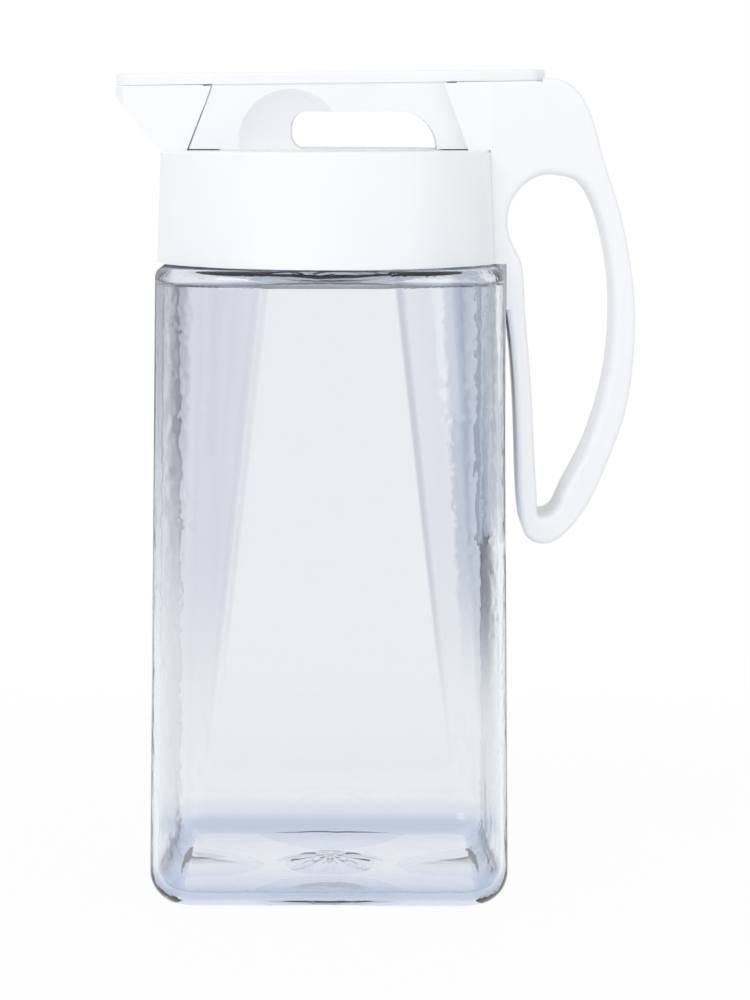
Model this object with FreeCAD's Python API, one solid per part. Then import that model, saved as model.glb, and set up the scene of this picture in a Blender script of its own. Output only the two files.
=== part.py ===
import FreeCAD, Part
import math
import os
from FreeCAD import Vector

# Cold drink pitcher: a clear square jar, a white collar with spout and handle, and a quarter-turn lid.
# Millimetres. +Z up, the spout points to -X and the handle to +X, and the jar's axis is the Z axis.

# Jar body, a square tube whose corners are tight at the base and wide at the shoulder
jar_height = 185.6
jar_half_width_base = 52.4
jar_side_draft = 1.0
jar_corner_radius_base = 12.5
jar_corner_radius_shoulder = 32.0
jar_wall = 2.3
jar_floor = 3.2
base_edge_radius = 9.5
shoulder_edge_radius = 3.2
foot_arch_half_width = 25.0
foot_arch_rise = 0.9
foot_arch_start = 26.0
push_up_radius = 13.0
push_up_rise = 2.4

# Jar neck
neck_inset = 5.0
neck_wall = 2.6
neck_length = 19.0
neck_bead_drop = 4.0
neck_bead_proud = 1.3
neck_bead_length = 3.0

# Collar: skirt, deck, and the well that the lid's plug turns in
collar_gap = 0.5
collar_length = 33.5
collar_overhang = 0.6
collar_draft = 1.2
collar_top_edge_radius = 1.0
skirt_wall = 2.2
deck_thickness = 2.2
well_inset = 7.4
well_wall = 2.5
well_depth = 24.0
well_foot_length = 5.5
well_foot_gap = 0.6
rim_rib_count = 12
rim_rib_width = 1.6
snap_rib_count = 6
snap_rib_angle = 16.0
snap_rib_length = 2.0
snap_rib_gap = 0.25

# Spout
spout_reach = 13.4
spout_lip_rise = 16.2
spout_root_rise = 0.3
spout_root_sink = 6.0
spout_root_depth = 4.0
trough_sink = 4.0
spout_half_width_root = 16.5
spout_half_width_tip = 9.5
spout_tip_corner_room = 2.0
spout_wall = 2.0
channel_half_width = 12.0
channel_depth = 10.5
channel_plate = 2.0

# Lid bar with its top plate
lid_height = 19.85
plate_tilt_degrees = 0.65
plate_thickness = 3.4
plate_edge_radius = 0.8
plate_end_corner_radius = 6.0
plate_side_blend_radius = 40.0
bar_side_inset = 0.5
bar_end_inset = 6.4
bar_end_slope_run = 7.8
bar_end_slope_past = 4.0
bar_lift = 0.35
lid_disc_thickness = 2.4
window_left = -11.6
window_right_inset = 4.9
window_floor_rise = 0.2
window_height = 11.2
window_corner_radius = 4.5
window_thumb_radius = 11.0
scoop_radius = 26.0
scoop_drop = 8.667
scoop_depth = 5.0
block_wall = 2.2
pocket_margin = 1.0

# Lid plug
plug_radial_gap = 0.3
plug_wall = 2.2
plug_top_thickness = 2.0
plug_floor_rise = 4.0
spigot_inset = 5.4
spigot_width = 1.6
spigot_height = 1.2
port_angle_from_spout = 45.0
port_half_angle = 15.0
port_drop = 5.8
port_height = 3.6
port_bar_count = 3
port_bar_width = 1.2
lug_rise = 4.6
lug_height = 2.6
lug_proud = 1.3
lug_half_angle = 4.0
lug_tip_gap = 0.2
lid_turn_degrees = 90.0
slot_gap = 0.4

# Seals
seal_gap = 0.05
neck_seal_height = 2.4
neck_seal_depth = 1.6
plug_seal_rise = 1.2
plug_seal_height = 2.2
plug_seal_depth = 1.1
gasket_band = 1.4
gasket_depth = 0.9

# Handle
handle_half_width_root = 18.5
handle_half_width_grip = 11.0
handle_taper_start = -4.4
handle_taper_end = 39.6
handle_root_depth = 6.6
handle_crest_gap = 0.3
handle_crest_rise = 1.45
handle_inner_edge_radius = 2.2
handle_outer_edge_radius = 1.5
cone_gap = 0.4
plate_gap = 0.4
plate_swing_gap = 0.5
tenon_length = 2.6
tenon_half_width = 6.0
tenon_height = 6.0
fit_gap = 0.1
tongue_thickness = 2.0
tongue_tip_thickness = 4.2
tongue_tip_round = 2.6
tongue_length = 83.0
tongue_half_width_top = 12.0
tongue_half_width_tip = 7.5
tongue_gap = 0.4

# How far a cutting tool runs past a face, how deep a joined piece is sunk, and more than any reach
past = 2.0
sink = 0.5
far = 400.0

# How near two points count as one, on straight edges and on curves, and the part of an edge's length
# that may lie along Y
same_place = 0.01
same_curve = 0.02
most_of_edge = 0.95

# Worked out from the values above
jar_half_width_shoulder = jar_half_width_base - jar_side_draft
neck_outer_radius = jar_half_width_shoulder - neck_inset
neck_top = jar_height + neck_length
neck_bead_height = neck_top - neck_bead_drop
collar_bottom = jar_height + collar_gap
collar_top = collar_bottom + collar_length
collar_radius_bottom = jar_half_width_shoulder + collar_overhang
collar_radius_top = collar_radius_bottom - collar_draft
well_radius = neck_outer_radius - neck_wall - well_inset
well_bottom = collar_top - well_depth
spout_lip_height = collar_top + spout_lip_rise
spout_root_height = collar_top + spout_root_rise
channel_floor_height = collar_top - channel_depth
plate_length_radius = collar_radius_top + spout_reach
plate_underside_height = collar_top + lid_height
bar_half_width = spout_half_width_root - bar_side_inset
bar_end_radius_low = collar_radius_top - bar_end_inset
bar_end_radius_high = bar_end_radius_low - bar_end_slope_run
window_bottom = collar_top + window_floor_rise
window_top = window_bottom + window_height
window_right = bar_end_radius_high - window_right_inset
plug_bottom = well_bottom + plug_floor_rise
port_top = collar_top - port_drop
port_bottom = port_top - port_height
lug_bottom = plug_bottom + lug_rise
spigot_radius = well_radius - spigot_inset
plug_seal_bottom = plug_bottom + plug_seal_rise
handle_crest_height = plate_underside_height + handle_crest_rise
tongue_tip_height = collar_bottom - tongue_length
tongue_outer_x = jar_half_width_base
tongue_inner_x = tongue_outer_x - tongue_thickness
tongue_tip_inner_x = tongue_outer_x - tongue_tip_thickness
recess_x = tongue_tip_inner_x - tongue_gap


def turned(shape, degrees):
    # A copy turned about the jar's axis.
    copy = shape.copy()
    copy.rotate(Vector(0, 0, 0), Vector(0, 0, 1), degrees)
    return copy


def cylinder(radius, low, high):
    return Part.makeCylinder(radius, high - low, Vector(0, 0, low))


def ring(outer_radius, inner_radius, low, high):
    return cylinder(outer_radius, low, high).cut(cylinder(inner_radius, low - past, high + past))


def cone(radius_low, radius_high, low, high):
    return Part.makeCone(radius_low, radius_high, high - low, Vector(0, 0, low))


def box(x_low, x_high, y_low, y_high, z_low, z_high):
    corner = Vector(x_low, y_low, z_low)
    return Part.makeBox(x_high - x_low, y_high - y_low, z_high - z_low, corner)


def sector(outer_radius, inner_radius, low, high, centre_degrees, half_angle):
    # A block of a ring, centred on an angle about the jar's axis, counted from +X.
    foot = Vector(0, 0, low)
    solid = Part.makeCylinder(outer_radius, high - low, foot, Vector(0, 0, 1), 2 * half_angle)
    solid = solid.cut(cylinder(inner_radius, low - past, high + past))
    return turned(solid, centre_degrees - half_angle)


def prism(wire, low, high):
    # A flat outline at z = 0 pushed up from low to high.
    face = Part.Face(wire)
    face.translate(Vector(0, 0, low))
    return face.extrude(Vector(0, 0, high - low))


def outline(points):
    return Part.makePolygon(points + points[:1])


def spline(points):
    curve = Part.BSplineCurve()
    curve.interpolate(points)
    return curve.toShape()


def rounded_square(half_width, corner_radius, height):
    # Four straight sides and four quarter arcs, started at the same corner each time.
    flat = half_width - corner_radius
    edges = []
    for quarter in range(4):
        turn = math.radians(90 * quarter)
        along = Vector(-math.sin(turn), math.cos(turn), 0)
        out = Vector(math.cos(turn), math.sin(turn), 0)
        start = out * half_width - along * flat + Vector(0, 0, height)
        end = out * half_width + along * flat + Vector(0, 0, height)
        centre = out * flat + along * flat + Vector(0, 0, height)
        middle = centre + (out + along) * (corner_radius / math.sqrt(2))
        after = centre + along * corner_radius
        edges.append(Part.LineSegment(start, end).toShape())
        edges.append(Part.Arc(end, middle, after).toShape())
    return Part.Wire(edges)


def share(low_value, high_value, low, high, height):
    return low_value + (high_value - low_value) * (height - low) / (high - low)


def jar_half_width(height):
    return share(jar_half_width_base, jar_half_width_shoulder, 0, jar_height, height)


def jar_corner_radius(height):
    return share(jar_corner_radius_base, jar_corner_radius_shoulder, 0, jar_height, height)


def tapered_square(inset, low, high):
    sections = []
    for height in (low, high):
        half_width = jar_half_width(height) - inset
        corner_radius = jar_corner_radius(height) - inset
        sections.append(rounded_square(half_width, corner_radius, height))
    return Part.makeLoft(sections, True, True)


def edges_at_height(shape, height):
    found = []
    for edge in shape.Edges:
        box_of_edge = edge.BoundBox
        if abs(box_of_edge.ZMin - height) < same_place and abs(box_of_edge.ZMax - height) < same_place:
            found.append(edge)
    return found


def upright_edges(shape, x_low, x_high):
    # The vertical corner edges whose distance from the plane x = 0 lies in a range.
    found = []
    for edge in shape.Edges:
        extent = edge.BoundBox
        upright = extent.XLength < same_place and extent.YLength < same_place
        if upright and x_low < abs(extent.XMin) < x_high:
            found.append(edge)
    return found


def cut_each(shape, tools):
    for tool in tools:
        shape = shape.cut(tool)
    return shape


def edges_along(shape, profile):
    # The edges whose points all lie on a side-view curve, seen along Y.
    found = []
    samples = 9
    for edge in shape.Edges:
        points = edge.discretize(samples)
        flat = [Part.Vertex(p.x, 0, p.z) for p in points]
        depth = max(p.y for p in points) - min(p.y for p in points)
        across_only = depth > edge.Length * most_of_edge
        if not across_only and all(profile.distToShape(v)[0] < same_curve for v in flat):
            found.append(edge)
    return found


def tongue_solid(grow, x_low, x_high, z_high):
    # The brace leaf that lies on the jar's handle side, with a round lower end.
    tip = tongue_half_width_tip + grow
    tip_centre = tongue_tip_height + tongue_half_width_tip
    top = share(tongue_half_width_tip, tongue_half_width_top, tip_centre, collar_bottom, z_high) + grow
    start = Vector(0, -top, z_high)
    left = Vector(0, -tip, tip_centre)
    bottom = Vector(0, 0, tip_centre - tip)
    right = Vector(0, tip, tip_centre)
    end = Vector(0, top, z_high)
    edges = [
        Part.LineSegment(start, left).toShape(),
        Part.Arc(left, bottom, right).toShape(),
        Part.LineSegment(right, end).toShape(),
        Part.LineSegment(end, start).toShape(),
    ]
    face = Part.Face(Part.Wire(edges))
    face.translate(Vector(x_low, 0, 0))
    return face.extrude(Vector(x_high - x_low, 0, 0))


def foot_arch(turn):
    # A shallow arch under one side, deepest at the edge, so that the jar stands on its corners.
    radius = (foot_arch_half_width**2 + foot_arch_rise**2) / (2 * foot_arch_rise)
    slope = foot_arch_rise / (jar_half_width_base - foot_arch_start)
    start = Vector(foot_arch_start, 0, -radius)
    return turned(Part.makeCylinder(radius, jar_half_width_base, start, Vector(1, 0, slope)), turn)


def cap_of_ball(base_radius, rise, height):
    radius = (base_radius**2 + rise**2) / (2 * rise)
    return Part.makeSphere(radius, Vector(0, 0, height + rise - radius))


def make_jar():
    outer = tapered_square(0, 0, jar_height)
    outer = outer.makeFillet(base_edge_radius, edges_at_height(outer, 0))
    outer = outer.makeFillet(shoulder_edge_radius, edges_at_height(outer, jar_height))
    cavity_top = jar_height - jar_wall
    cavity = tapered_square(jar_wall, jar_floor, cavity_top)
    cavity = cavity.makeFillet(base_edge_radius - jar_wall, edges_at_height(cavity, jar_floor))
    cavity = cavity.makeFillet(shoulder_edge_radius, edges_at_height(cavity, cavity_top))
    floor_dome = cap_of_ball(push_up_radius + jar_floor, push_up_rise, jar_floor)
    cavity = cavity.cut(floor_dome)
    pad = tongue_solid(tongue_gap + jar_wall, recess_x - jar_wall, jar_half_width_base, jar_height)
    cavity = cavity.cut(pad)
    neck = cylinder(neck_outer_radius, jar_height - shoulder_edge_radius, neck_top)
    bead_radius = neck_outer_radius + neck_bead_proud
    half_bead = neck_bead_length / 2
    bead_low = cone(neck_outer_radius, bead_radius, neck_bead_height - half_bead, neck_bead_height)
    bead_high = cone(bead_radius, neck_outer_radius, neck_bead_height, neck_bead_height + half_bead)
    bore = cylinder(neck_outer_radius - neck_wall, cavity_top - past, neck_top + past)
    recess = tongue_solid(tongue_gap, recess_x, jar_half_width_base + past, jar_height + past)
    recess = recess.cut(cylinder(neck_outer_radius, jar_height - shoulder_edge_radius, neck_top))
    jar = outer.cut(recess).fuse([neck, bead_low, bead_high])
    jar = jar.cut([cavity, bore])
    jar = cut_each(jar, [foot_arch(turn) for turn in (0, 90, 180, 270)])
    return jar.cut(cap_of_ball(push_up_radius, push_up_rise, 0))


def plate_underside(x):
    return plate_underside_height + x * math.tan(math.radians(plate_tilt_degrees))


def below_plate(gap):
    # All the space lower than the tilted plate's underside, less a gap.
    reach = 3 * plate_length_radius
    corners = [
        Vector(-reach, 0, 0),
        Vector(reach, 0, 0),
        Vector(reach, 0, plate_underside(reach) - gap),
        Vector(-reach, 0, plate_underside(-reach) - gap),
    ]
    face = Part.Face(outline(corners))
    face.translate(Vector(0, -reach, 0))
    return face.extrude(Vector(0, 2 * reach, 0))


def end_outline(inset):
    # Plan of the plate over the spout: straight tapering sides and an end on the swing circle.
    root_x = -bar_end_radius_high
    tip_x = -(plate_length_radius - inset)
    root = spout_half_width_root - inset
    tip = spout_half_width_tip - inset
    end_drop = plate_length_radius - math.sqrt(plate_length_radius**2 - tip**2)
    shoulder_x = tip_x + end_drop + spout_tip_corner_room
    start = Vector(root_x, -root, 0)
    left = Vector(shoulder_x, -tip, 0)
    right = Vector(shoulder_x, tip, 0)
    end = Vector(root_x, root, 0)
    return root_x, start, left, Vector(tip_x, 0, 0), right, end


def spout_plan(inset, rear_x):
    root_x, start, left, tip, right, end = end_outline(inset)
    rear_left = Vector(rear_x, start.y, 0)
    rear_right = Vector(rear_x, end.y, 0)
    edges = [
        Part.LineSegment(rear_left, start).toShape(),
        Part.LineSegment(start, left).toShape(),
        Part.Arc(left, tip, right).toShape(),
        Part.LineSegment(right, end).toShape(),
        Part.LineSegment(end, rear_right).toShape(),
        Part.LineSegment(rear_right, rear_left).toShape(),
    ]
    return Part.Wire(edges)


def spout_underside(x):
    # The straight sloping underside, from the collar's side out to the lip.
    root_x = -collar_radius_top
    return share(spout_root_height, spout_lip_height, root_x, -plate_length_radius, x)


def above_spout_slope(rise):
    reach = 3 * plate_length_radius
    corners = [
        Vector(-reach, 0, spout_underside(-reach) + rise),
        Vector(0, 0, spout_underside(0) + rise),
        Vector(0, 0, 2 * reach),
        Vector(-reach, 0, 2 * reach),
    ]
    face = Part.Face(outline(corners))
    face.translate(Vector(0, -reach, 0))
    return face.extrude(Vector(0, 2 * reach, 0))


def lid_space(gap):
    # What the lid bar's cone-shaped ends sweep, grown by a gap.
    top = plate_underside_height + bar_end_slope_past
    return cone(bar_end_radius_low + gap, bar_end_radius_high + gap, collar_top, top)


def make_spout():
    plan = spout_plan(0, -bar_end_radius_high + spout_root_depth)
    body = prism(plan, collar_top - spout_root_sink, plate_underside_height)
    body = body.common(above_spout_slope(0)).common(below_plate(plate_gap))
    return body.cut(cylinder(collar_radius_top - sink, 0, collar_top)).cut(lid_space(cone_gap))


def spout_channel():
    # The open way from the well, up inside the collar and along the trough to the lip.
    slope = math.atan2(spout_lip_height - spout_root_height, plate_length_radius - collar_radius_top)
    plan = spout_plan(spout_wall, -well_radius)
    trough = prism(plan, collar_top - trough_sink, plate_underside_height + past)
    trough = trough.common(above_spout_slope(spout_wall / math.cos(slope)))
    shaft = cylinder(collar_radius_top - skirt_wall, channel_floor_height, plate_underside_height)
    slot = box(-plate_length_radius, -well_radius / 2, -channel_half_width, channel_half_width, 0, far)
    return shaft.common(slot).fuse(trough)


def make_collar():
    bore_radius = collar_radius_top - skirt_wall
    skirt = cone(collar_radius_bottom, collar_radius_top, collar_bottom, collar_top)
    skirt = skirt.makeFillet(collar_top_edge_radius, edges_at_height(skirt, collar_top))
    skirt = skirt.cut(cylinder(bore_radius, collar_bottom - past, collar_top - deck_thickness))
    well_outer = well_radius + well_wall
    foot_outer = neck_outer_radius - neck_wall - well_foot_gap
    well = ring(well_outer, well_radius, well_bottom, collar_top)
    foot = ring(foot_outer, well_radius, well_bottom, well_bottom + well_foot_length)
    pieces = [well, foot, make_spout()]
    half_rib = rim_rib_width / 2
    inside_deck = collar_top - deck_thickness / 2
    rib = box(well_outer - sink, bore_radius + sink, -half_rib, half_rib, neck_top, inside_deck)
    for index in range(rim_rib_count):
        pieces.append(turned(rib, 360.0 * (index + 0.5) / rim_rib_count))
    snap_inner = neck_outer_radius + neck_bead_proud + snap_rib_gap
    snap_high = neck_bead_height - neck_bead_length / 2
    snap_low = snap_high - snap_rib_length
    snap_rib = sector(bore_radius + sink, snap_inner, snap_low, snap_high, 0, snap_rib_angle / 2)
    for index in range(snap_rib_count):
        pieces.append(turned(snap_rib, 360.0 * index / snap_rib_count))
    channel_outer = channel_half_width + channel_plate
    trunk = box(
        -collar_radius_top, -well_radius, -channel_outer, channel_outer,
        channel_floor_height - channel_plate, inside_deck,
    )
    trunk = trunk.common(ring(bore_radius + sink, well_radius, 0, far))
    pieces.append(trunk)
    collar = skirt.fuse(pieces)
    collar = collar.cut([cylinder(well_radius, well_bottom - past, collar_top + past), spout_channel()])
    groove_low = well_bottom + (well_foot_length - neck_seal_height) / 2
    groove_high = groove_low + neck_seal_height
    collar = collar.cut(ring(foot_outer + past, foot_outer - neck_seal_depth, groove_low, groove_high))
    collar = collar.fuse(make_tenon(0))
    return cut_each(collar, lug_tracks())


def lug_tracks():
    # Two arc grooves in the well for the plug's lugs, each with a slot straight up at its open end.
    low = lug_bottom - slot_gap
    high = lug_bottom + lug_height + slot_gap
    outer = well_radius + lug_proud + lug_tip_gap
    inner = well_radius - past
    extra = math.degrees(slot_gap / well_radius)
    half_turn = lid_turn_degrees / 2 + lug_half_angle + extra
    solids = []
    for start in (0, 180):
        middle = start + lid_turn_degrees / 2
        way_out = start + lid_turn_degrees
        solids.append(sector(outer, inner, low, high, middle, half_turn))
        solids.append(sector(outer, inner, low, collar_top + past, way_out, lug_half_angle + extra))
    return solids


def make_tenon(gap):
    middle = (bar_end_radius_low + cone_gap + collar_radius_top) / 2
    solid = box(
        middle - tenon_length / 2 - gap, middle + tenon_length / 2 + gap,
        -tenon_half_width - gap, tenon_half_width + gap,
        collar_top - sink, collar_top + tenon_height + gap,
    )
    return solid


def beside_jar(out, down):
    # A point of the handle's side view, out from the jar's face and down from the collar's top.
    return Vector(jar_half_width_base + out, 0, collar_top - down)


def handle_profile():
    # Side view of the handle's outside, from the crest round the grip to the arm's inner face.
    crest = Vector(plate_length_radius + handle_crest_gap, 0, handle_crest_height)
    split = beside_jar(0.0, 47.0)
    curve = spline([
        crest,
        beside_jar(19.0, -19.3),
        beside_jar(24.8, -10.8),
        beside_jar(28.4, 1.5),
        beside_jar(33.0, 15.7),
        beside_jar(36.5, 31.0),
        beside_jar(38.3, 46.0),
        beside_jar(38.0, 61.5),
        beside_jar(35.6, 78.0),
        beside_jar(30.0, 93.7),
        beside_jar(23.5, 107.0),
        beside_jar(17.9, 113.8),
        beside_jar(11.8, 117.0),
        beside_jar(6.4, 115.0),
        beside_jar(4.3, 108.5),
        beside_jar(3.3, 88.1),
        beside_jar(2.2, 66.0),
        split,
    ])
    inner_x = bar_end_radius_high - handle_root_depth
    corners = [split, Vector(inner_x, 0, split.z), Vector(inner_x, 0, crest.z), crest]
    return curve, Part.Face(Part.Wire([curve] + Part.makePolygon(corners).Edges))


def loop_profile():
    # Side view of the opening for the hand.
    curve = Part.BSplineCurve()
    curve.interpolate(PeriodicFlag=True, Points=[
        beside_jar(15.1, 7.4),
        beside_jar(8.1, 8.2),
        beside_jar(3.0, 12.4),
        beside_jar(0.2, 19.4),
        beside_jar(1.2, 26.6),
        beside_jar(4.0, 32.4),
        beside_jar(5.2, 42.7),
        beside_jar(6.6, 60.0),
        beside_jar(7.8, 78.0),
        beside_jar(8.7, 95.4),
        beside_jar(9.2, 104.8),
        beside_jar(10.3, 109.0),
        beside_jar(12.8, 108.6),
        beside_jar(16.5, 103.0),
        beside_jar(21.8, 92.6),
        beside_jar(26.2, 81.6),
        beside_jar(29.7, 68.4),
        beside_jar(31.4, 53.0),
        beside_jar(31.0, 37.3),
        beside_jar(28.8, 24.8),
        beside_jar(25.2, 14.4),
        beside_jar(21.0, 9.1),
    ])
    return curve.toShape(), Part.Face(Part.Wire(curve.toShape()))


def handle_plan():
    # Top view of the handle: wide at the collar, with flat sides that draw in to the grip.
    inner_x = bar_end_radius_high - handle_root_depth - past
    near = [
        Vector(inner_x, -handle_half_width_root, 0),
        Vector(jar_half_width_base + handle_taper_start, -handle_half_width_root, 0),
        Vector(jar_half_width_base + handle_taper_end, -handle_half_width_grip, 0),
    ]
    far = [Vector(p.x, -p.y, 0) for p in reversed(near)]
    return outline(near + far)


def across(face):
    # A side-view face, in the plane y = 0, pushed out both ways, past the sides of the lid and handle.
    half_depth = plate_length_radius
    copy = face.copy()
    copy.translate(Vector(0, -half_depth, 0))
    return copy.extrude(Vector(0, 2 * half_depth, 0))


def make_tongue():
    # The brace leaf gets thicker from the collar to its tip, and its back edge is round there.
    leaf = tongue_solid(0, tongue_tip_inner_x, tongue_outer_x, collar_bottom)
    bend = tongue_tip_round * (1 - math.sqrt(0.5))
    low = tongue_tip_height
    start = Vector(tongue_tip_inner_x, 0, low + tongue_tip_round)
    middle = Vector(tongue_tip_inner_x + bend, 0, low + bend)
    end = Vector(tongue_tip_inner_x + tongue_tip_round, 0, low)
    corners = [
        end,
        Vector(end.x, 0, low - past),
        Vector(tongue_outer_x + past, 0, low - past),
        Vector(tongue_outer_x + past, 0, collar_bottom + past),
        Vector(tongue_inner_x, 0, collar_bottom + past),
        Vector(tongue_inner_x, 0, collar_bottom),
        start,
    ]
    edges = [Part.Arc(start, middle, end).toShape()] + Part.makePolygon(corners).Edges
    return leaf.common(across(Part.Face(Part.Wire(edges))))


def make_handle():
    outer_curve, outer_face = handle_profile()
    loop_curve, loop_face = loop_profile()
    body = across(outer_face).common(prism(handle_plan(), 0, far))
    body = body.cut(across(loop_face))
    body = body.makeFillet(handle_inner_edge_radius, edges_along(body, loop_curve))
    body = body.makeFillet(handle_outer_edge_radius, edges_along(body, outer_curve))
    body = body.cut(cone(collar_radius_bottom, collar_radius_top, collar_bottom, collar_top))
    face_x = jar_half_width(tongue_tip_height) + tongue_gap
    body = body.cut(box(0, face_x, -plate_length_radius, plate_length_radius, 0, collar_bottom))
    body = body.cut(lid_space(cone_gap))
    swing = cylinder(plate_length_radius + plate_swing_gap, plate_underside_height - past, far)
    body = body.cut(swing.cut(below_plate(plate_gap)))
    body = body.cut(make_tenon(fit_gap))
    return body.fuse(make_tongue())


def lid_plan(inset):
    # Plan of the top plate: the spout's plan at both ends of a straight bar.
    root_x, start, left, tip, right, end = end_outline(inset)
    flip = [Vector(-p.x, -p.y, 0) for p in (start, left, tip, right, end)]
    edges = [
        Part.LineSegment(start, left).toShape(),
        Part.Arc(left, tip, right).toShape(),
        Part.LineSegment(right, end).toShape(),
        Part.LineSegment(end, flip[0]).toShape(),
        Part.LineSegment(flip[0], flip[1]).toShape(),
        Part.Arc(flip[1], flip[2], flip[3]).toShape(),
        Part.LineSegment(flip[3], flip[4]).toShape(),
        Part.LineSegment(flip[4], start).toShape(),
    ]
    return Part.Wire(edges)


def make_plate():
    solid = prism(lid_plan(0), 0, plate_thickness)
    middle = (plate_length_radius + bar_end_radius_high) / 2
    solid = solid.makeFillet(plate_end_corner_radius, upright_edges(solid, middle, plate_length_radius))
    solid = solid.makeFillet(plate_side_blend_radius, upright_edges(solid, 0, middle))
    solid = solid.makeFillet(plate_edge_radius, edges_at_height(solid, plate_thickness))
    solid.rotate(Vector(0, 0, 0), Vector(0, 1, 0), -plate_tilt_degrees)
    solid.translate(Vector(0, 0, plate_underside_height))
    return solid


def window_cut():
    # The finger window: tight corners on the spout side, a wide thumb curve on the handle side.
    low = window_bottom
    high = window_top
    tight = window_corner_radius
    wide = window_thumb_radius
    left = window_left
    right = window_right
    turn = math.sqrt(0.5)
    edges = [
        Part.LineSegment(Vector(left + tight, 0, low), Vector(right, 0, low)).toShape(),
        Part.LineSegment(Vector(right, 0, low), Vector(right, 0, high - wide)).toShape(),
        Part.Arc(
            Vector(right, 0, high - wide),
            Vector(right - wide + wide * turn, 0, high - wide + wide * turn),
            Vector(right - wide, 0, high),
        ).toShape(),
        Part.LineSegment(Vector(right - wide, 0, high), Vector(left + tight, 0, high)).toShape(),
        Part.Arc(
            Vector(left + tight, 0, high),
            Vector(left + tight - tight * turn, 0, high - tight + tight * turn),
            Vector(left, 0, high - tight),
        ).toShape(),
        Part.LineSegment(Vector(left, 0, high - tight), Vector(left, 0, low + tight)).toShape(),
        Part.Arc(
            Vector(left, 0, low + tight),
            Vector(left + tight - tight * turn, 0, low + tight - tight * turn),
            Vector(left + tight, 0, low),
        ).toShape(),
    ]
    return across(Part.Face(Part.Wire(edges)))


def scoop_cut(side):
    # A finger hollow that leads into the window from one side.
    away = bar_half_width + scoop_radius - scoop_depth
    return Part.makeSphere(scoop_radius, Vector(window_left, side * away, window_top - scoop_drop))


def make_lid_bar():
    strip = box(
        -collar_radius_top, collar_radius_top, -bar_half_width, bar_half_width,
        collar_top + bar_lift, plate_underside_height + past,
    )
    bar = lid_space(0).common(strip).common(below_plate(0))
    bar = bar.cut([window_cut(), scoop_cut(1), scoop_cut(-1)])
    disc_radius = well_radius - plug_radial_gap
    disc_low = collar_top - lid_disc_thickness
    disc = cylinder(disc_radius, disc_low, collar_top + bar_lift)
    bar = bar.fuse([disc, make_plate()])
    pocket_low = disc_low - past
    pocket_high = plate_underside_height - block_wall
    end_wall = 2 * block_wall
    pocket = cone(bar_end_radius_low - end_wall, bar_end_radius_high - end_wall, pocket_low, pocket_high)
    side = bar_half_width - scoop_depth - block_wall
    left_pocket = pocket.common(box(-collar_radius_top, window_left - block_wall, -side, side, 0, far))
    left_pocket = left_pocket.common(cylinder(spigot_radius - spigot_width - pocket_margin, 0, far))
    groove_inner = spigot_radius - spigot_width - fit_gap
    groove_high = disc_low + spigot_height + fit_gap
    groove = ring(spigot_radius + fit_gap, groove_inner, disc_low - past, groove_high)
    return bar.cut([left_pocket, groove])


def port_sector(outer_radius, inner_radius, grow):
    grow_angle = math.degrees(grow / well_radius)
    centre = 180 - port_angle_from_spout
    half_angle = port_half_angle + grow_angle
    return sector(outer_radius, inner_radius, port_bottom - grow, port_top + grow, centre, half_angle)


def make_lid_plug():
    radius = well_radius - plug_radial_gap
    top = collar_top - lid_disc_thickness
    plug = cylinder(radius, plug_bottom, top)
    plug = plug.cut(cylinder(radius - plug_wall, plug_bottom - past, top - plug_top_thickness))
    spigot = ring(spigot_radius, spigot_radius - spigot_width, top - sink, top + spigot_height)
    plug = plug.fuse(spigot)
    for angle in (0, 180):
        lug_top = lug_bottom + lug_height
        lug = sector(well_radius + lug_proud, radius - sink, lug_bottom, lug_top, angle, lug_half_angle)
        plug = plug.fuse(lug)
    seat = port_sector(radius + past, radius - gasket_depth, gasket_band)
    window = port_sector(radius + past, radius - plug_wall - past, 0)
    seal_top = plug_seal_bottom + plug_seal_height
    groove = ring(radius + past, radius - plug_seal_depth, plug_seal_bottom, seal_top)
    plug = plug.cut([seat, window, groove])
    centre = 180 - port_angle_from_spout
    for index in range(port_bar_count):
        offset = 2 * port_half_angle * ((index + 1) / (port_bar_count + 1) - 0.5)
        half_angle = math.degrees(port_bar_width / radius) / 2
        bar_outer = radius - gasket_depth
        bar_inner = radius - plug_wall
        bar_low = port_bottom - sink
        bar = sector(bar_outer, bar_inner, bar_low, port_top + sink, centre + offset, half_angle)
        plug = plug.fuse(bar)
    return plug


def make_port_gasket():
    outer = well_radius - seal_gap
    inner = well_radius - plug_radial_gap - gasket_depth
    frame = port_sector(outer, inner, gasket_band)
    return frame.cut(port_sector(outer + past, inner - past, 0))


def make_plug_seal():
    outer = well_radius - seal_gap
    inner = well_radius - plug_radial_gap - plug_seal_depth
    return ring(outer, inner, plug_seal_bottom, plug_seal_bottom + plug_seal_height)


def make_neck_seal():
    bore = neck_outer_radius - neck_wall
    low = well_bottom + (well_foot_length - neck_seal_height) / 2
    return ring(bore - seal_gap, bore - well_foot_gap - neck_seal_depth, low, low + neck_seal_height)


makers = {
    "jar": make_jar,
    "collar_with_spout": make_collar,
    "handle": make_handle,
    "neck_seal": make_neck_seal,
    "lid_bar": make_lid_bar,
    "lid_plug": make_lid_plug,
    "plug_seal": make_plug_seal,
    "port_gasket": make_port_gasket,
}

os.makedirs("parts", exist_ok=True)
for name, maker in makers.items():
    shape = maker()
    volume = round(shape.Volume / 1000, 2)
    print(name, "solids", len(shape.Solids), "valid", shape.isValid(), "volume", volume, "cm3")
    shape.exportStep("parts/" + name + ".step")
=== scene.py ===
import math

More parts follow.
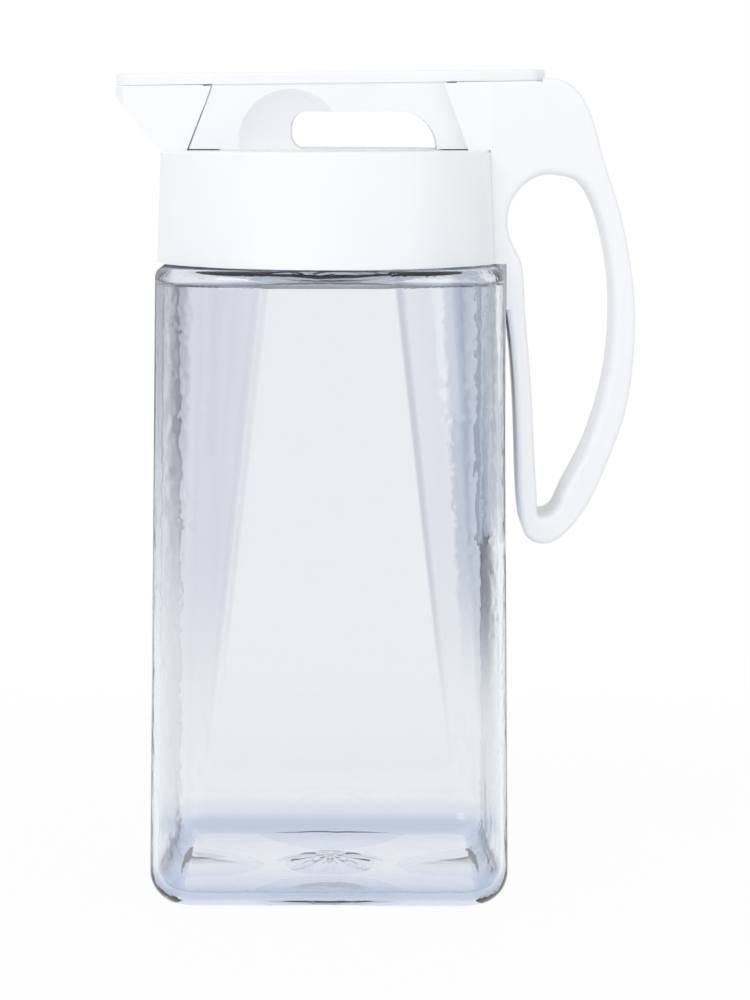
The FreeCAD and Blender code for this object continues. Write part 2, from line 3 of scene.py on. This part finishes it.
import bpy
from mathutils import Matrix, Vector

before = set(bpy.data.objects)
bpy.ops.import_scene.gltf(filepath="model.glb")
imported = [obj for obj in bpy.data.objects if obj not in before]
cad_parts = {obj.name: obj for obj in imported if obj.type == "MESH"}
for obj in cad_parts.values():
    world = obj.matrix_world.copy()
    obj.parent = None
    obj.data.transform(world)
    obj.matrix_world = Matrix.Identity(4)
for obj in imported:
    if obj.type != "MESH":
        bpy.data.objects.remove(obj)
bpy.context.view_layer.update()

scene = bpy.context.scene
scene.view_settings.view_transform = "Standard"
print("frame loaded:", ", ".join(sorted(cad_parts)))


# Shader sums written as Python expressions
class Value:
    def __init__(self, graph, socket):
        self.graph = graph
        self.socket = socket

    def sum(self, operation, first, second):
        return self.graph.maths(operation, first, second)

    def __add__(self, other):
        return self.sum("ADD", self, other)

    def __radd__(self, other):
        return self.sum("ADD", other, self)

    def __sub__(self, other):
        return self.sum("SUBTRACT", self, other)

    def __rsub__(self, other):
        return self.sum("SUBTRACT", other, self)

    def __mul__(self, other):
        return self.sum("MULTIPLY", self, other)

    def __rmul__(self, other):
        return self.sum("MULTIPLY", other, self)

    def __truediv__(self, other):
        return self.sum("DIVIDE", self, other)


# One material or sky, and the nodes that it is made of
class Graph:
    def __init__(self, name, world=False):
        self.owner = bpy.data.worlds.new(name) if world else bpy.data.materials.new(name)
        self.owner.use_nodes = True
        self.tree = self.owner.node_tree
        self.tree.nodes.clear()

    def add(self, kind, settings=None, inputs=None, output=0):
        # settings go in first, because they decide which sockets the node has
        node = self.tree.nodes.new("ShaderNode" + kind)
        for name, setting in (settings or {}).items():
            setattr(node, name, setting)
        pairs = inputs.items() if isinstance(inputs, dict) else enumerate(inputs or [])
        for name, value in pairs:
            if value is None:
                continue
            if isinstance(value, Value):
                self.tree.links.new(value.socket, node.inputs[name])
            else:
                node.inputs[name].default_value = value
        return Value(self, node.outputs[output]) if node.outputs else None

    def pick(self, value, output):
        return Value(self, value.socket.node.outputs[output])

    def maths(self, operation, *values):
        return self.add("Math", {"operation": operation}, list(values))

    def mixColours(self, factor, first, second):
        settings = {"data_type": "RGBA"}
        return self.add("Mix", settings, {0: factor, 6: first, 7: second}, output=2)

    def smooth(self, value, span):
        # 0 before the span, 1 past it, eased along it
        settings = {"interpolation_type": "SMOOTHSTEP"}
        inputs = {"Value": value, "From Min": span[0], "From Max": span[1]}
        return self.add("MapRange", settings, inputs)

    def place(self):
        return self.add("TexCoord", output=3)

    def split(self, vector):
        x = self.add("SeparateXYZ", None, [vector])
        return x, self.pick(x, 1), self.pick(x, 2)

    def noise(self, scale, detail, roughness, stretch=(1, 1, 1)):
        where = self.add("Mapping", None, {"Vector": self.place(), "Scale": stretch})
        inputs = {"Vector": where, "Scale": scale, "Detail": detail, "Roughness": roughness}
        return self.add("TexNoise", None, inputs)

    def bump(self, height, distance, strength, normal=None):
        inputs = {"Strength": strength, "Distance": distance, "Height": height, "Normal": normal}
        return self.add("Bump", None, inputs)

    def finish(self, surface, volume=None):
        kind = "OutputMaterial" if isinstance(self.owner, bpy.types.Material) else "OutputWorld"
        self.add(kind, None, {"Surface": surface, "Volume": volume})
        return self.owner


def dress(node, material):
    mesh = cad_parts[node].data
    mesh.materials.clear()
    mesh.materials.append(material)


# Camera at the photograph's place, near the lid's height: metres, degrees and millimetres of lens
view = {
    "lens": 124.06,
    "sensor": 36,
    "distance": 1.0346,
    "height": 0.2347,
    "turn": 0.6,
    "tilt": 4.083,
    "shiftX": 0.0447,
    "shiftY": -0.155,
    "nearest": 0.01,
    "farthest": 50,
}


def makeCamera():
    turn = math.radians(view["turn"])
    data = bpy.data.cameras.new("photoCamera")
    data.lens = view["lens"]
    data.sensor_width = view["sensor"]
    data.shift_x = view["shiftX"]
    data.shift_y = view["shiftY"]
    data.clip_start = view["nearest"]
    data.clip_end = view["farthest"]
    camera = bpy.data.objects.new("photoCamera", data)
    across = view["distance"] * math.sin(turn)
    back = view["distance"] * math.cos(turn)
    camera.location = (across, -back, view["height"])
    camera.rotation_euler = (math.radians(90 - view["tilt"]), 0, turn)
    scene.collection.objects.link(camera)
    scene.camera = camera
    print("camera made")


# White moulded plastic, and what differs from piece to piece
whitePlastic = {
    # in every material a noise is its scale, detail and roughness, and a relief is its depth and
    # strength; any other pair of numbers is where a mask starts and where it ends
    "colour": (0.905, 0.91, 0.92, 1),
    "shade": (0.885, 0.89, 0.905, 1),
    "cloudNoise": (18, 3, 0.55),
    "cloudSpan": (0.35, 0.7),
    "roughness": 0.32,
    "roughnessSpread": 0.1,
    "grainNoise": (1400, 2, 0.6),
    "grainRelief": (0.00002, 0.35),
    "waveNoise": (28, 1, 0.4),
    "waveRelief": (0.0003, 0.25),
    "ior": 1.49,
    "scatter": 0.12,
    "scatterDepth": 0.002,
}
whitePieces = {
    "collar_with_spout": ("whiteCollar", {}),
    "handle": ("whiteHandle", {"roughness": 0.36}),
    "lid_bar": ("whiteLid", {"roughness": 0.28}),
    "lid_plug": ("whitePlug", {"colour": (0.88, 0.885, 0.89, 1)}),
}


def makeWhitePlastic(name, changes):
    look = {**whitePlastic, **changes}
    graph = Graph(name)
    cloud = graph.noise(*look["cloudNoise"])
    grain = graph.noise(*look["grainNoise"])
    wave = graph.noise(*look["waveNoise"])
    cloudy = graph.smooth(cloud, look["cloudSpan"])
    normal = graph.bump(wave, *look["waveRelief"])
    normal = graph.bump(grain, *look["grainRelief"], normal)
    shader = graph.add("BsdfPrincipled", None, {
        "Base Color": graph.mixColours(cloudy, look["colour"], look["shade"]),
        "Roughness": (cloud - 0.5) * look["roughnessSpread"] + look["roughness"],
        "Normal": normal,
        "IOR": look["ior"],
        "Subsurface Weight": look["scatter"],
        "Subsurface Scale": look["scatterDepth"],
        "Subsurface Radius": (1, 1, 1),
    })
    return graph.finish(shader)


# Silicone of the rings and the gasket
silicone = {
    "colour": (0.80, 0.81, 0.80, 1),
    "dust": (0.70, 0.71, 0.71, 1),
    "dustNoise": (60, 4, 0.6),
    "dustSpan": (0.4, 0.75),
    "roughness": 0.5,
    "roughnessSpread": 0.2,
    "grainNoise": (2500, 2, 0.5),
    "grainRelief": (0.00002, 0.5),
    "ior": 1.41,
    "scatter": 0.3,
    "scatterDepth": 0.003,
}


def makeSilicone():
    graph = Graph("silicone")
    dust = graph.noise(*silicone["dustNoise"])
    grain = graph.noise(*silicone["grainNoise"])
    dusty = graph.smooth(dust, silicone["dustSpan"])
    shader = graph.add("BsdfPrincipled", None, {
        "Base Color": graph.mixColours(dusty, silicone["colour"], silicone["dust"]),
        "Roughness": (grain - 0.5) * silicone["roughnessSpread"] + silicone["roughness"],
        "Normal": graph.bump(grain, *silicone["grainRelief"]),
        "IOR": silicone["ior"],
        "Subsurface Weight": silicone["scatter"],
        "Subsurface Scale": silicone["scatterDepth"],
        "Subsurface Radius": (1, 1, 1),
    })
    return graph.finish(shader)


# The jar's form as the CAD has it, in metres: its corner radius grows from base to shoulder
jarForm = {
    "height": 0.1856,
    "halfWidth": 0.0524,
    "draft": 0.001,
    "cornerBase": 0.0125,
    "cornerShoulder": 0.032,
}

# Clear plastic of the jar: heights and widths in metres, arcs in shares of the corner's radius
clearPlastic = {
    "tint": (0.915, 0.934, 0.948, 1),
    "absorption": (0.44, 0.54, 0.66, 1),
    "density": 14.0,
    "passing": (0.93, 0.94, 0.96, 1),
    "ior": 1.53,
    "roughness": 0.012,
    "roughnessSpread": 0.01,
    "handleSide": (0.0, 0.01),
    # painted shade in the corners, streaked up and down, that stops at the brace leaf
    "cornerPaintedShade": (0.812, 0.828, 0.880, 1),
    "cornerArc": (-0.02, 0.04),
    "cornerHeight": (0.035, 0.10),
    "cornerMost": 1.15,
    "cornerLessAtHandle": 0.35,
    "streakNoise": (55, 3, 0.6),
    "streakStretch": (1, 1, 0.05),
    "streakSpan": (0.35, 0.65),
    "streakDepth": 0.55,
    "leafWidth": (0.0455, 0.0475),
    # painted shade on the line where a flat side turns into a corner, twice as strong on the
    # handle's side
    "linePaintedShade": (0.70, 0.72, 0.78, 1),
    "lineStart": (-0.035, 0.0),
    "lineStop": (0.02, 0.08),
    "lineStrength": 0.35,
    # an upright band of painted shade in the corners on the handle's side
    "bandPaintedShade": (0.60, 0.645, 0.72, 1),
    "bandStart": (0.46, 0.54),
    "bandStop": (0.68, 0.82),
    "bandHeight": (0.045, 0.10),
    # painted shade on the outermost part of the corners on the spout's side
    "edgePaintedShade": (0.30, 0.32, 0.40, 1),
    "edgeArc": (0.78, 0.99),
    "edgeHeight": (0.07, 0.175),
    # the bottom, darker and bluer, and painted shade along its rim
    "bottomDarkening": (0.80, 0.825, 0.90, 1),
    "floorHeight": (0.009, 0.014),
    "rimPaintedShade": (0.58, 0.65, 0.79, 1),
    "rimHeight": (0.005, 0.009),
    "rimWidth": (0.042, 0.046),
    # painted shade on the outline, darker where the wall is seen edge-on
    "outlinePaintedShade": (0.03, 0.035, 0.07, 1),
    "outlineRoughness": 0.4,
    "outlineGloss": 0.1,
    "outlineFacing": (0.76, 0.97),
    "outlineLeast": 0.1,
    "outlineUpper": (0.07, 0.15),
    "outlineLower": (0.05, 0.095),
    "outlineLeaf": (0.100, 0.103),
    "outlineFoot": (0.006, 0.02),
    # moulding waves, which leave the pad behind the leaf flat, and closer ones near the foot
    "waveNoise": (26, 2, 0.5),
    "waveStretch": (1, 1, 0.25),
    "waveRelief": (0.0004, 0.2),
    "padWidth": (0.042, 0.045),
    "footNoise": (90, 2, 0.5),
    "footStretch": (1, 1, 0.6),
    "footRelief": (0.0004, 0.2),
    "footHeight": (0.004, 0.05),
    # the star in the middle of the bottom
    "starArms": 8,
    "starMiddle": (0.0, 0.0056),
    "starReach": (0.0084, 0.021),
    "starHeight": (0.008, 0.012),
    "starRelief": (0.0007, 0.5),
}


# the plastic's tint, with painted shade in corners, lines, bands, edges and rim, and a darker
# bottom
def jarTintAndPaintedShade(graph, x, y, z, handleSide):
    look = clearPlastic
    rise = z / jarForm["height"]
    growth = jarForm["cornerShoulder"] - jarForm["cornerBase"]
    corner = rise * growth + jarForm["cornerBase"]
    flat = jarForm["halfWidth"] - rise * jarForm["draft"] - corner
    across = graph.maths("ABSOLUTE", x)
    deep = graph.maths("ABSOLUTE", y)
    # 0 where a flat side turns into the corner's arc, 0.7 in the corner's middle
    arc = (graph.maths("MINIMUM", across, deep) - flat) / corner
    # the same seen from the front: 0 at the line, 1 at the outline
    side = (across - flat) / corner
    upper = graph.smooth(z, look["cornerHeight"])
    inCorner = graph.smooth(arc, look["cornerArc"])
    # painted shade in the corners, in streaks, less on the handle's side and none past the leaf
    streak = graph.noise(*look["streakNoise"], look["streakStretch"])
    streaks = look["cornerMost"] - graph.smooth(streak, look["streakSpan"]) * look["streakDepth"]
    shade = inCorner * upper * streaks * (1 - handleSide * look["cornerLessAtHandle"])
    shade = shade * (1 - graph.smooth(x, look["leafWidth"]))
    # painted shade along the line between a flat side and a corner
    line = graph.smooth(arc, look["lineStart"]) * (1 - graph.smooth(arc, look["lineStop"])) * upper
    line = line * (look["lineStrength"] + handleSide * look["lineStrength"])
    # darker and bluer at the bottom
    bottom = 1 - graph.smooth(z, look["floorHeight"])
    # an upright band of painted shade in the corners on the handle's side
    band = graph.smooth(side, look["bandStart"]) * (1 - graph.smooth(side, look["bandStop"]))
    band = band * inCorner * handleSide * graph.smooth(z, look["bandHeight"])
    # painted shade on the outermost part of the corners on the spout's side
    edge = graph.smooth(side, look["edgeArc"]) * graph.smooth(z, look["edgeHeight"])
    edge = edge * inCorner * (1 - handleSide)
    # painted shade along the rim of the bottom
    outermost = graph.maths("MAXIMUM", across, deep)
    rim = (1 - graph.smooth(z, look["rimHeight"])) * graph.smooth(outermost, look["rimWidth"])
    layers = {
        "cornerPaintedShade": shade,
        "linePaintedShade": line,
        "bottomDarkening": bottom,
        "bandPaintedShade": band,
        "edgePaintedShade": edge,
        "rimPaintedShade": rim,
    }
    colour = look["tint"]
    # layers of painted shade, and the darker bottom, mixed over the plastic's tint
    for tint, mask in layers.items():
        colour = graph.mixColours(mask, colour, look[tint])
    return colour


def jarOutline(graph, z, handleSide):
    # painted shade on the outline, where the wall is seen edge-on
    # most at the top on the spout's side, and below the brace leaf on the handle's side
    look = clearPlastic
    facing = graph.add("LayerWeight", None, {"Blend": 0.5}, output=1)
    grazing = graph.smooth(facing, look["outlineFacing"])
    spoutSide = graph.smooth(z, look["outlineUpper"]) * (1 - handleSide)
    belowLeaf = graph.smooth(z, look["outlineLower"]) * (1 - graph.smooth(z, look["outlineLeaf"]))
    strength = look["outlineLeast"] + graph.maths("MAXIMUM", spoutSide, belowLeaf * handleSide)
    return graph.maths("MINIMUM", grazing * strength, 1.0) * graph.smooth(z, look["outlineFoot"])


def jarRelief(graph, x, y, z, wave):
    look = clearPlastic
    radius = graph.maths("SQRT", x * x + y * y)
    arms = graph.maths("COSINE", graph.maths("ARCTAN2", y, x) * look["starArms"])
    star = arms * (1 - graph.smooth(radius, look["starReach"]))
    star = star * graph.smooth(radius, look["starMiddle"])
    star = star * (1 - graph.smooth(z, look["starHeight"]))
    offPad = 1 - graph.smooth(x, look["padWidth"])
    foot = graph.noise(*look["footNoise"], look["footStretch"])
    nearFoot = 1 - graph.smooth(z, look["footHeight"])
    normal = graph.bump(wave * offPad, *look["waveRelief"])
    normal = graph.bump(foot * nearFoot, *look["footRelief"], normal)
    return graph.bump(star, *look["starRelief"], normal)


def makeClearPlastic():
    look = clearPlastic
    graph = Graph("clearPlastic")
    x, y, z = graph.split(graph.place())
    handleSide = graph.smooth(x, look["handleSide"])
    wave = graph.noise(*look["waveNoise"], look["waveStretch"])
    clear = graph.add("BsdfPrincipled", None, {
        "Base Color": jarTintAndPaintedShade(graph, x, y, z, handleSide),
        "Roughness": (wave - 0.5) * look["roughnessSpread"] + look["roughness"],
        "Normal": jarRelief(graph, x, y, z, wave),
        "IOR": look["ior"],
        "Transmission Weight": 1.0,
    })
    # a dark shader for the painted shade on the outline
    dark = graph.add("BsdfPrincipled", None, {
        "Base Color": look["outlinePaintedShade"],
        "Roughness": look["outlineRoughness"],
        "Specular IOR Level": look["outlineGloss"],
    })
    wall = graph.add("MixShader", None, [jarOutline(graph, z, handleSide), clear, dark])
    # lamps and bounced light pass straight through, as they nearly do in a thin clear wall
    shadow = graph.add("LightPath", None, None, output=1)
    light = graph.maths("MAXIMUM", shadow, graph.pick(shadow, "Is Diffuse Ray"))
    passing = graph.add("BsdfTransparent", None, {"Color": look["passing"]})
    soak = graph.add("VolumeAbsorption", None, {
        "Color": look["absorption"],
        "Density": look["density"],
    })
    return graph.finish(graph.add("MixShader", None, [light, wall, passing]), soak)


# Soft studio, whose floor keeps the object's shadow close by and turns white farther off
studio = {
    "floorColour": (0.95, 0.95, 0.95, 1),
    "floorShade": (0.93, 0.93, 0.93, 1),
    "floorNoise": (3, 3, 0.5),
    "floorRoughness": 0.6,
    "floorGloss": 0.2,
    "floorGlow": 0.93,
    "floorRadius": 6.0,
    "floorCorners": 96,
    "fade": (0.12, 0.45),
    "skyColour": (0.97, 0.985, 1.0, 1),
    "skyLevel": 0.72,
    "white": (1, 1, 1, 1),
    "lampTarget": (0, 0, 0.13),
}
lamps = {
    "keyLight": {"place": (-0.9, -1.4, 1.3), "size": (1.2, 1.2), "power": 13},
    "fillLight": {"place": (1.3, -1.0, 0.6), "size": (1.0, 1.0), "power": 3},
}


def makeLamp(name, place, size, power):
    data = bpy.data.lights.new(name, "AREA")
    data.shape = "RECTANGLE"
    data.size, data.size_y = size
    data.energy = power
    lamp = bpy.data.objects.new(name, data)
    lamp.location = place
    away = Vector(place) - Vector(studio["lampTarget"])
    lamp.rotation_euler = away.to_track_quat("Z", "Y").to_euler()
    scene.collection.objects.link(lamp)
    lamp.visible_camera = False


def seenRays(graph):
    # 1 for what the camera sees directly, in a gloss or through the clear plastic
    camera = graph.add("LightPath")
    glossy = graph.pick(camera, "Is Glossy Ray")
    through = graph.pick(camera, "Is Transmission Ray")
    return graph.maths("MAXIMUM", graph.maths("MAXIMUM", camera, glossy), through)


def makeFloor():
    radius = studio["floorRadius"]
    corners = studio["floorCorners"]
    points = []
    for index in range(corners):
        turn = 2 * math.pi * index / corners
        points.append((radius * math.cos(turn), radius * math.sin(turn), 0))
    mesh = bpy.data.meshes.new("floor")
    mesh.from_pydata(points, [], [range(corners)])
    floor = bpy.data.objects.new("floor", mesh)
    scene.collection.objects.link(floor)
    graph = Graph("paleFloor")
    x, y = graph.split(graph.place())[:2]
    far = graph.smooth(graph.maths("SQRT", x * x + y * y), studio["fade"])
    cloud = graph.noise(*studio["floorNoise"])
    matt = graph.add("BsdfPrincipled", None, {
        "Base Color": graph.mixColours(cloud, studio["floorColour"], studio["floorShade"]),
        "Roughness": studio["floorRoughness"],
        "Specular IOR Level": studio["floorGloss"],
    })
    glow = graph.add("Emission", None, {"Color": studio["white"], "Strength": 1.0})
    glowing = (studio["floorGlow"] + (1 - studio["floorGlow"]) * far) * seenRays(graph)
    mesh.materials.append(graph.finish(graph.add("MixShader", None, [glowing, matt, glow])))


def makeWorld():
    graph = Graph("studioSky", world=True)
    sky = {"Color": studio["skyColour"], "Strength": studio["skyLevel"]}
    white = {"Color": studio["white"], "Strength": 1.0}
    lit = graph.add("Background", None, sky)
    seen = graph.add("Background", None, white)
    scene.world = graph.finish(graph.add("MixShader", None, [seenRays(graph), lit, seen]))


makeCamera()
dress("jar", makeClearPlastic())
for node, (name, changes) in whitePieces.items():
    dress(node, makeWhitePlastic(name, changes))
ring = makeSilicone()
for node in ("neck_seal", "plug_seal", "port_gasket"):
    dress(node, ring)
print("materials made")

makeFloor()
makeWorld()
for name, values in lamps.items():
    makeLamp(name, **values)
print("studio made")
